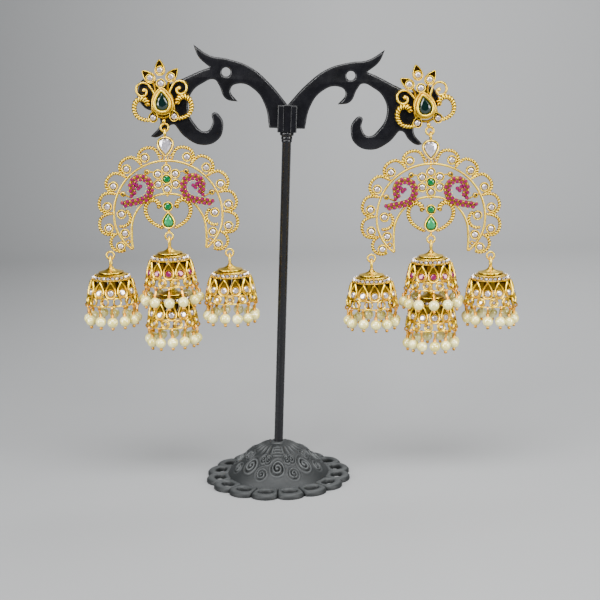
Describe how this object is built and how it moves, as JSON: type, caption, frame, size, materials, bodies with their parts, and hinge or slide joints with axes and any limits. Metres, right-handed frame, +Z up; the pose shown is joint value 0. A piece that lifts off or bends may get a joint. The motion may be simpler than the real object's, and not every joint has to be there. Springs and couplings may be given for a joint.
{
  "type": "pair of jhumka earrings on a display stand",
  "caption": "Gold-tone chandbali jhumka earrings with petalled crescents, coloured stones and pearl-fringed bells, hung by their studs on a black scrolled stand.",
  "frame": {"origin": "middle of the stand's flat underside", "axes": "+Z up, +X towards the right-hand earring and the way the pole leans, -Y towards the viewer, who sees the studs' stones"},
  "size_m": [0.1337, 0.045, 0.135],
  "materials": {
    "base_cast": "dark grey cast metal with worn relief",
    "black_gloss": "glossy black",
    "antique_gold": "antique gold plating, darker in the recesses",
    "pearl": "cream imitation pearl, lustrous",
    "ruby": "magenta-pink faceted stones in gold claws",
    "emerald": "bright green faceted stone",
    "dark_green": "very dark green faceted stone",
    "clear_stone": "foiled colourless stone"
  },
  "bodies": {
    "stand": {"stand_base": "base_cast", "stand_post": "black_gloss", "stand_arm_left": "black_gloss", "stand_arm_right": "black_gloss", "left_stud_frame": "antique_gold", "left_stud_stone": "dark_green", "right_stud_frame": "antique_gold", "right_stud_stone": "dark_green"},
    "left_crescent": {"left_crescent_frame": "antique_gold", "left_kundan": "clear_stone", "left_flower_green": "emerald", "left_small_green": "emerald", "left_emerald": "emerald", "left_ruby_left": "ruby", "left_ruby_right": "ruby"},
    "left_left_drop": {"left_left_bell": "antique_gold", "left_left_pearls": "pearl"},
    "left_right_drop": {"left_right_bell": "antique_gold", "left_right_pearls": "pearl"},
    "left_upper_drop": {"left_upper_bell": "antique_gold", "left_upper_pearls": "pearl"},
    "left_lower_drop": {"left_lower_bell": "antique_gold", "left_lower_pearls": "pearl"},
    "right_crescent": {"right_crescent_frame": "antique_gold", "right_kundan": "clear_stone", "right_flower_green": "emerald", "right_small_green": "emerald", "right_emerald": "emerald", "right_ruby_left": "ruby", "right_ruby_right": "ruby"},
    "right_left_drop": {"right_left_bell": "antique_gold", "right_left_pearls": "pearl"},
    "right_right_drop": {"right_right_bell": "antique_gold", "right_right_pearls": "pearl"},
    "right_upper_drop": {"right_upper_bell": "antique_gold", "right_upper_pearls": "pearl"},
    "right_lower_drop": {"right_lower_bell": "antique_gold", "right_lower_pearls": "pearl"}
  },
  "joints": [
    {"name": "left_crescent_swing", "type": "hinge", "parent": "stand", "child": "left_crescent", "pos_m": [-0.03114, -0.00295, 0.10971], "axis": [-1, 0, 0], "range_deg": [-15, 30]},
    {"name": "left_left_swing", "type": "hinge", "parent": "left_crescent", "child": "left_left_drop", "pos_m": [-0.04928, -0.00295, 0.07147], "axis": [-1, 0, 0], "range_deg": [-25, 25]},
    {"name": "left_right_swing", "type": "hinge", "parent": "left_crescent", "child": "left_right_drop", "pos_m": [-0.01299, -0.00295, 0.07147], "axis": [-1, 0, 0], "range_deg": [-25, 25]},
    {"name": "left_upper_swing", "type": "hinge", "parent": "left_crescent", "child": "left_upper_drop", "pos_m": [-0.03114, -0.00295, 0.07696], "axis": [-1, 0, 0], "range_deg": [-25, 25]},
    {"name": "left_lower_swing", "type": "hinge", "parent": "left_upper_drop", "child": "left_lower_drop", "pos_m": [-0.03114, -0.00295, 0.06436], "axis": [-1, 0, 0], "range_deg": [-3, 3]},
    {"name": "right_crescent_swing", "type": "hinge", "parent": "stand", "child": "right_crescent", "pos_m": [0.04829, -0.00295, 0.10696], "axis": [-1, 0, 0], "range_deg": [-15, 30]},
    {"name": "right_left_swing", "type": "hinge", "parent": "right_crescent", "child": "right_left_drop", "pos_m": [0.03014, -0.00295, 0.06872], "axis": [-1, 0, 0], "range_deg": [-25, 25]},
    {"name": "right_right_swing", "type": "hinge", "parent": "right_crescent", "child": "right_right_drop", "pos_m": [0.06643, -0.00295, 0.06872], "axis": [-1, 0, 0], "range_deg": [-25, 25]},
    {"name": "right_upper_swing", "type": "hinge", "parent": "right_crescent", "child": "right_upper_drop", "pos_m": [0.04829, -0.00295, 0.07422], "axis": [-1, 0, 0], "range_deg": [-25, 25]},
    {"name": "right_lower_swing", "type": "hinge", "parent": "right_upper_drop", "child": "right_lower_drop", "pos_m": [0.04829, -0.00295, 0.06162], "axis": [-1, 0, 0], "range_deg": [-3, 3]}
  ]
}
